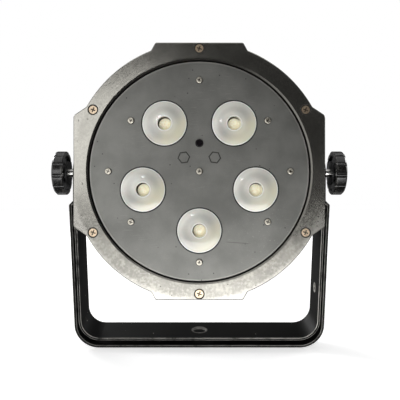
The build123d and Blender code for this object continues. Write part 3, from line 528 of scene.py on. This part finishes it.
def ease_edges(nodes, width, segments=2, angle=35):
    """Rounds the sharp edges of frame pieces a little, so that they catch the light."""
    for node in [nodes] if isinstance(nodes, str) else nodes:
        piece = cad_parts[node]
        joined = piece.modifiers.new("joined", "WELD")
        joined.merge_threshold = 0.002 * MM
        eased = piece.modifiers.new("eased", "BEVEL")
        eased.width = width
        eased.segments = segments
        eased.limit_method = "ANGLE"
        eased.angle_limit = math.radians(angle)
        eased.use_clamp_overlap = True
        shaded = piece.modifiers.new("shaded", "WEIGHTED_NORMAL")
        shaded.keep_sharp = True


# ------------------------------------------------------------------ settings


def tint(name, text, default):
    return FloatVectorProperty(name=name, description=text, default=default, size=3, min=0.0, max=1.0,
                               subtype="COLOR")


def share(name, text, default):
    return FloatProperty(name=name, description=text, default=default, min=0.0, max=1.0, subtype="FACTOR")


def span(name, text, default):
    return FloatProperty(name=name, description=text, default=default, unit="LENGTH", subtype="DISTANCE")


def brightness(name, text, default):
    return FloatProperty(name=name, description=f"Brightness of {text}", default=default, min=0.0)


def power(name, text, default):
    return FloatProperty(name=name, description=f"Power of {text}", default=default, min=0.0, unit="POWER")


class ParFinish(bpy.types.PropertyGroup):
    """Colours and gloss of the light's pieces."""

    ring: tint("Ring", "Coat of the front ring", (0.315, 0.306, 0.276))
    ring_gloss: share("Ring gloss", "Roughness of the ring", 0.22)
    ring_metal: share("Ring metal", "How metallic the ring's thin coat looks", 0.95)
    plate: tint("Plate", "Coat of the round plate", (0.20, 0.20, 0.186))
    plate_gloss: share("Plate gloss", "Roughness of the plate", 0.40)
    plate_metal: share("Plate metal", "How metallic the plate's coat looks", 0.65)
    bare_metal: tint("Bare metal", "Metal where the coat is rubbed off", (0.62, 0.60, 0.56))
    strap: tint("Strap", "Coat of the hanging straps", (0.004, 0.004, 0.0036))
    strap_gloss: share("Strap gloss", "Roughness of the straps", 0.52)
    housing: tint("Housing", "Powder coat of the housing", (0.018, 0.018, 0.019))
    knob: tint("Knob", "Moulded knobs", (0.009, 0.0085, 0.008))
    lens: tint("Lens", "Pearly face of the optics", (0.74, 0.73, 0.67))
    # The warm side of each lens is a painted reflection.
    lens_warm: tint("Lens, aged", "Warm side of the optics, a painted reflection", (0.77, 0.73, 0.53))
    ring_screw: tint("Ring screws", "Yellow plating of the ring's screws", (0.78, 0.62, 0.45))
    plate_screw: tint("Plate screws", "Plating of the plate's screws", (0.74, 0.70, 0.60))


class ParWear(bpy.types.PropertyGroup):
    """How worn each finish is."""

    ring: share("Ring wear", "Scuffs and rubbed edges of the ring", 0.7)
    plate: share("Plate wear", "Scratches and dust on the plate", 0.8)
    strap: share("Strap wear", "Bright wear along the straps", 0.9)
    knob: share("Knob wear", "Grey scuffs on the knobs", 0.25)


class ParStage(bpy.types.PropertyGroup):
    """Camera, floor and light."""

    camera_distance: span("Camera distance", "From the camera to the front of the ring", 0.460)
    camera_height: span("Camera height", "Height of the camera above the floor", 0.1415)
    focal_length: FloatProperty(name="Focal length", description="Lens of the camera", default=47.7,
                                subtype="DISTANCE_CAMERA")
    backdrop: brightness("Surroundings", "the room as the camera sees it", 1.0)
    back_light: brightness("Back light", "the room behind", 0.10)
    side_light: brightness("Side light", "the room's left side", 0.65)
    dark_side: brightness("Dark side", "the rest of the room", 0.01)
    floor_glow: brightness("Floor glow", "the lit floor", 0.62)
    low_left: power("Low left light", "the wide panel low on the left", 1.6)
    low_right: power("Low right light", "the wide panel low on the right", 3.3)
    low_middle: power("Low middle light", "the small panel low in the middle", 4.7)
    left: power("Left light", "the narrow panel on the left", 1.7)
    glint: power("Glint", "the small high light that glints on the lenses", 0.25)
    ceiling: power("Ceiling light", "the soft light overhead", 16.0)
    rear: power("Rear light", "the soft lights behind", 26.0)


# ------------------------------------------------------------------ the pieces


class PAR_OT_ring(bpy.types.Operator):
    """Dress the front ring."""

    bl_idname = "par.ring"
    bl_label = "Front ring"

    def execute(self, context):
        ease_edges("front_ring", 0.25 * MM)
        dress("front_ring", ring_coating(context.scene))
        return {"FINISHED"}


class PAR_OT_plate(bpy.types.Operator):
    """Dress the round plate and the nuts pressed into it."""

    bl_idname = "par.plate"
    bl_label = "Front plate"

    def execute(self, context):
        ease_edges(["clinch_nuts"], 0.1 * MM)
        dress(["front_plate", "clinch_nuts"], plate_coating(context.scene))
        return {"FINISHED"}


class PAR_OT_lenses(bpy.types.Operator):
    """Dress the five optics."""

    bl_idname = "par.lenses"
    bl_label = "Lenses"

    def execute(self, context):
        for node in LENSES:
            dress(node, lens_plastic(context.scene, node))
        return {"FINISHED"}


class PAR_OT_windows(bpy.types.Operator):
    """Dress the receiver's window and the display's window."""

    bl_idname = "par.windows"
    bl_label = "Windows"

    def execute(self, context):
        dress("ir_window", dark_glass("receiver_window", (0.010, 0.008, 0.010)))
        # The rear panel still covers the display's window, so its glass can't be seen.
        dress("display_window", dark_glass("display_glass", (0.06, 0.11, 0.16)))
        return {"FINISHED"}


class PAR_OT_front_screws(bpy.types.Operator):
    """Dress the screws of the ring and of the plate."""

    bl_idname = "par.front_screws"
    bl_label = "Front screws"

    def execute(self, context):
        tints = context.scene.par_finish
        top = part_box("ring_screws")[0].y
        dress("ring_screws", screw_metal(
            "ring_screw_metal", tuple(tints.ring_screw), ring_screw_places(),
            reach=3.7 * MM, cross_y=top + 0.15 * MM, cross_reach=3.0 * MM,
        ))
        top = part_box("plate_screws")[0].y
        dress("plate_screws", screw_metal(
            "plate_screw_metal", tuple(tints.plate_screw), plate_screw_places(),
            reach=2.85 * MM, cross_y=top + 0.3 * MM, cross_reach=1.7 * MM,
        ))
        return {"FINISHED"}


class PAR_OT_straps(bpy.types.Operator):
    """Dress the two hanging straps."""

    bl_idname = "par.straps"
    bl_label = "Hanging straps"

    def execute(self, context):
        for node in ("inner_bracket", "outer_bracket"):
            ease_edges(node, 0.45 * MM, 3)
            dress(node, strap_coating(context.scene, node))
        return {"FINISHED"}


class PAR_OT_knobs(bpy.types.Operator):
    """Dress the knobs, their studs and their washers."""

    bl_idname = "par.knobs"
    bl_label = "Knobs"

    def execute(self, context):
        ease_edges(["left_knob_grip", "right_knob_grip"], 0.3 * MM)
        dress(["left_knob_grip", "right_knob_grip"], knob_plastic(context.scene))
        dress(["left_knob_stud", "right_knob_stud"], drawn_metal("stud_metal", (0.83, 0.82, 0.79), 0.24))
        dress(["left_knob_washer", "right_knob_washer"], speckled("washer_nylon", (0.02, 0.02, 0.02), 0.5))
        return {"FINISHED"}


class PAR_OT_housing(bpy.types.Operator):
    """Dress the housing and the panel on its back."""

    bl_idname = "par.housing"
    bl_label = "Housing"

    def execute(self, context):
        ease_edges(["housing_shell", "rear_panel"], 0.3 * MM)
        dress("housing_shell", powder_coat(context.scene, "housing_coat"))
        dress("rear_panel", powder_coat(context.scene, "panel_coat"))
        dress(["rear_screws", "connector_screws", "eye_screws"],
              speckled("black_screws", (0.05, 0.05, 0.05), 0.35, 0.8))
        return {"FINISHED"}


class PAR_OT_feet(bpy.types.Operator):
    """Dress the rubber feet and the friction washers."""

    bl_idname = "par.feet"
    bl_label = "Rubber parts"

    def execute(self, context):
        ease_edges("rubber_feet", 0.6 * MM, 3)
        rubber = speckled("rubber", (0.022, 0.022, 0.022), 0.75, grain=0.5, depth=0.05)
        dress(["rubber_feet", "pivot_washers"], rubber)
        return {"FINISHED"}


class PAR_OT_sockets(bpy.types.Operator):
    """Dress the mains and signal sockets."""

    bl_idname = "par.sockets"
    bl_label = "Sockets"

    def execute(self, context):
        ease_edges(["power_inlet", "power_outlet"], 0.25 * MM)
        dress("power_inlet", speckled("inlet_plastic", (0.02, 0.06, 0.22), 0.36, depth=0.02))
        dress("power_outlet", speckled("outlet_plastic", (0.26, 0.27, 0.28), 0.38, depth=0.02))
        shells = speckled("socket_metal", (0.10, 0.10, 0.10), 0.34, 0.7, depth=0.02)
        dress(["dmx_input", "dmx_output"], shells)
        dress("dmx_output_latch", drawn_metal("latch_metal", (0.62, 0.62, 0.60), 0.35, (1, 8, 1)))
        return {"FINISHED"}


class PAR_OT_fuse(bpy.types.Operator):
    """Dress the fuse, its holder and its cap."""

    bl_idname = "par.fuse"
    bl_label = "Fuse"

    def execute(self, context):
        dress(["fuse_holder", "fuse_cap"], speckled("fuse_plastic", (0.015, 0.015, 0.015), 0.4, depth=0.02))
        glass = speckled("fuse_glass", (0.62, 0.66, 0.64), 0.12, grain=2.0, depth=0.01, coat_weight=0.5)
        dress("fuse", glass)
        return {"FINISHED"}


class PAR_OT_controls(bpy.types.Operator):
    """Dress the menu buttons and the display."""

    bl_idname = "par.controls"
    bl_label = "Controls"

    def execute(self, context):
        buttons = [f"menu_button_{i}" for i in range(1, 5)]
        dress(buttons, speckled("button_plastic", (0.19, 0.19, 0.20), 0.45, depth=0.02))
        dress(["display_module", "ir_receiver"], speckled("module_plastic", (0.02, 0.02, 0.02), 0.45))
        return {"FINISHED"}


class PAR_OT_safety_eye(bpy.types.Operator):
    """Dress the tab for a safety wire."""

    bl_idname = "par.safety_eye"
    bl_label = "Safety eye"

    def execute(self, context):
        ease_edges("safety_eye", 0.3 * MM)
        dress("safety_eye", powder_coat(context.scene, "eye_coat"))
        return {"FINISHED"}


class PAR_OT_cooling(bpy.types.Operator):
    """Dress the heat sink, the pad and the fan."""

    bl_idname = "par.cooling"
    bl_label = "Cooling"

    def execute(self, context):
        dress("heatsink", drawn_metal("extruded_aluminium", (0.72, 0.73, 0.74), 0.4, (1, 1, 0.1)))
        dress("thermal_pad", speckled("pad_silicone", (0.40, 0.41, 0.44), 0.7))
        dress(["fan_frame", "fan_rotor"], speckled("fan_plastic", (0.018, 0.018, 0.018), 0.45, depth=0.02))
        return {"FINISHED"}


class PAR_OT_boards(bpy.types.Operator):
    """Dress the circuit boards and the emitters."""

    bl_idname = "par.boards"
    bl_label = "Boards"

    def execute(self, context):
        dress("led_board", solder_mask("white_mask", (0.78, 0.78, 0.76), (0.62, 0.62, 0.60)))
        dress("led_emitters", speckled("phosphor", (0.82, 0.70, 0.28), 0.3, grain=0.6, depth=0.02))
        green = solder_mask("green_mask", (0.02, 0.15, 0.06), (0.05, 0.24, 0.10))
        dress(["led_driver_board", "power_supply_board", "control_board"], green)
        return {"FINISHED"}


class PAR_OT_inner_parts(bpy.types.Operator):
    """Dress the lens carrier, spacers, inserts and inner screws."""

    bl_idname = "par.inner_parts"
    bl_label = "Inner parts"

    def execute(self, context):
        dress("lens_carrier", speckled("carrier_plastic", (0.02, 0.02, 0.02), 0.5))
        dress(["plate_posts", "pivot_inserts"], drawn_metal("machined_brass", (0.72, 0.55, 0.28), 0.3))
        zinc = drawn_metal("zinc_screws", (0.62, 0.61, 0.58), 0.3)
        dress(["heatsink_screws", "fan_screws", "board_screws"], zinc)
        return {"FINISHED"}


class PAR_OT_stage(bpy.types.Operator):
    """Set up the floor, the light and the camera."""

    bl_idname = "par.stage"
    bl_label = "Studio"

    def execute(self, context):
        stage = context.scene.par_stage
        self.floor(context.scene)
        self.room(context.scene, stage)
        # Wide soft panels stand in front and shine straight back. They reach higher on the left.
        self.panel("low_left", (-0.80, -0.95, -0.44), (1.4, 1.12), stage.low_left, straight=True)
        self.panel("low_right", (0.55, -0.95, -0.51), (1.3, 0.98), stage.low_right, straight=True)
        self.panel("low_middle", (0.0, -0.93, -0.29), (0.8, 0.36), stage.low_middle, straight=True)
        self.panel("left", (-0.60, -0.95, 0.27), (0.8, 0.30), stage.left, straight=True)
        self.panel("glint", (-0.16, -1.20, 0.42), (0.09, 0.05), stage.glint)
        self.panel("ceiling", (0.0, 0.0, 2.0), (2.4, 2.4), stage.ceiling)
        self.panel("rear_left", (-1.3, 1.5, 0.9), (0.9, 0.9), stage.rear)
        self.panel("rear_right", (1.7, 1.1, 0.7), (0.9, 0.9), stage.rear * 0.5)
        self.camera(context.scene, stage)
        context.scene.view_settings.view_transform = "Standard"
        return {"FINISHED"}

    def floor(self, scene):
        mesh = bpy.data.meshes.new("floor")
        grid = bmesh.new()
        bmesh.ops.create_grid(grid, x_segments=1, y_segments=1, size=6.0)
        grid.to_mesh(mesh)
        grid.free()
        floor = bpy.data.objects.new("floor", mesh)
        floor.location.z = FLOOR_Z - FLOOR_GAP
        scene.collection.objects.link(floor)
        paper = Finish("floor_paper")
        grain = paper.noise(2 * MM, 3.0)
        tone = paper.blend(grain, (0.82, 0.82, 0.82), (0.86, 0.86, 0.86))
        far = ((paper.x ** 2.0 + paper.y ** 2.0) ** 0.5).from_to(0.2, 1.3)
        glow = paper.blend(far, (scene.par_stage.floor_glow,) * 3, (1.0, 1.0, 1.0))
        mesh.materials.append(paper.surface(tone, grain * 0.1 + 0.75, 0.0, paper.relief(grain, 0.02 * MM),
                                            emission_color=glow, emission_strength=1.0))
        # The floor is only seen, so that it doesn't shut off the low panels in front.
        floor.visible_glossy = floor.visible_diffuse = floor.visible_shadow = False

    def room(self, scene, stage):
        """Surroundings that are pale to the camera, and otherwise dim but for the left and behind."""
        world = bpy.data.worlds.new("studio")
        scene.world = world
        sky = Shader(world, "Generated")
        behind = sky.y.from_to(-0.05, 0.6) * stage.back_light
        left = (sky.x * -1.0).from_to(0.25, 0.95) * stage.side_light
        lit = behind.most(left) + stage.dark_side
        seen = sky.node("ShaderNodeLightPath").out("Is Camera Ray")
        strength = lit + seen * (stage.backdrop - lit)
        background = sky.node("ShaderNodeBackground", None, {"Color": (1, 1, 1, 1), "Strength": strength})
        sky.node("ShaderNodeOutputWorld", None, {"Surface": background})

    def panel(self, name, at, size, power, straight=False):
        """A soft light, aimed at the middle unless it shines straight back."""
        light = bpy.data.lights.new(name, "AREA")
        light.shape = "RECTANGLE"
        light.size, light.size_y = size
        light.energy = power
        lamp = bpy.data.objects.new(name, light)
        lamp.location = at
        if straight:
            lamp.rotation_euler.x = math.radians(90)
        else:
            aim = Vector((0, 0, AXIS.z)) - lamp.location
            lamp.rotation_euler = aim.to_track_quat("-Z", "Y").to_euler()
        lamp.visible_camera = False
        bpy.context.scene.collection.objects.link(lamp)

    def camera(self, scene, stage):
        data = bpy.data.cameras.new("camera")
        data.lens = stage.focal_length
        data.sensor_width = 36.0
        camera = bpy.data.objects.new("camera", data)
        camera.location = (CAMERA_X, RING_FRONT - stage.camera_distance, FLOOR_Z + stage.camera_height)
        camera.rotation_euler = (math.radians(90), 0, 0)
        scene.collection.objects.link(camera)
        scene.camera = camera


OPERATORS = (
    PAR_OT_ring, PAR_OT_plate, PAR_OT_lenses, PAR_OT_windows, PAR_OT_front_screws, PAR_OT_straps,
    PAR_OT_knobs, PAR_OT_housing, PAR_OT_feet, PAR_OT_sockets, PAR_OT_fuse, PAR_OT_controls,
    PAR_OT_safety_eye, PAR_OT_cooling, PAR_OT_boards, PAR_OT_inner_parts, PAR_OT_stage,
)


class PAR_PT_panel(bpy.types.Panel):
    """Lists the pieces and their settings in the sidebar."""

    bl_idname = "PAR_PT_panel"
    bl_label = "Par light"
    bl_space_type = "VIEW_3D"
    bl_region_type = "UI"
    bl_category = "Par Light"

    def draw(self, context):
        for operator in OPERATORS:
            self.layout.operator(operator.bl_idname)
        for name in ("par_finish", "par_wear", "par_stage"):
            group = getattr(context.scene, name)
            box = self.layout.box()
            for setting in group.__annotations__:
                box.prop(group, setting)


CLASSES = (ParFinish, ParWear, ParStage, *OPERATORS, PAR_PT_panel)


def register():
    for cls in CLASSES:
        bpy.utils.register_class(cls)
    bpy.types.Scene.par_finish = PointerProperty(type=ParFinish)
    bpy.types.Scene.par_wear = PointerProperty(type=ParWear)
    bpy.types.Scene.par_stage = PointerProperty(type=ParStage)


def unregister():
    for name in ("par_finish", "par_wear", "par_stage"):
        delattr(bpy.types.Scene, name)
    for cls in reversed(CLASSES):
        bpy.utils.unregister_class(cls)


def main():
    register()
    for operator in OPERATORS:
        getattr(bpy.ops.par, operator.bl_idname.split(".")[1])()


if __name__ == "__main__":
    main()
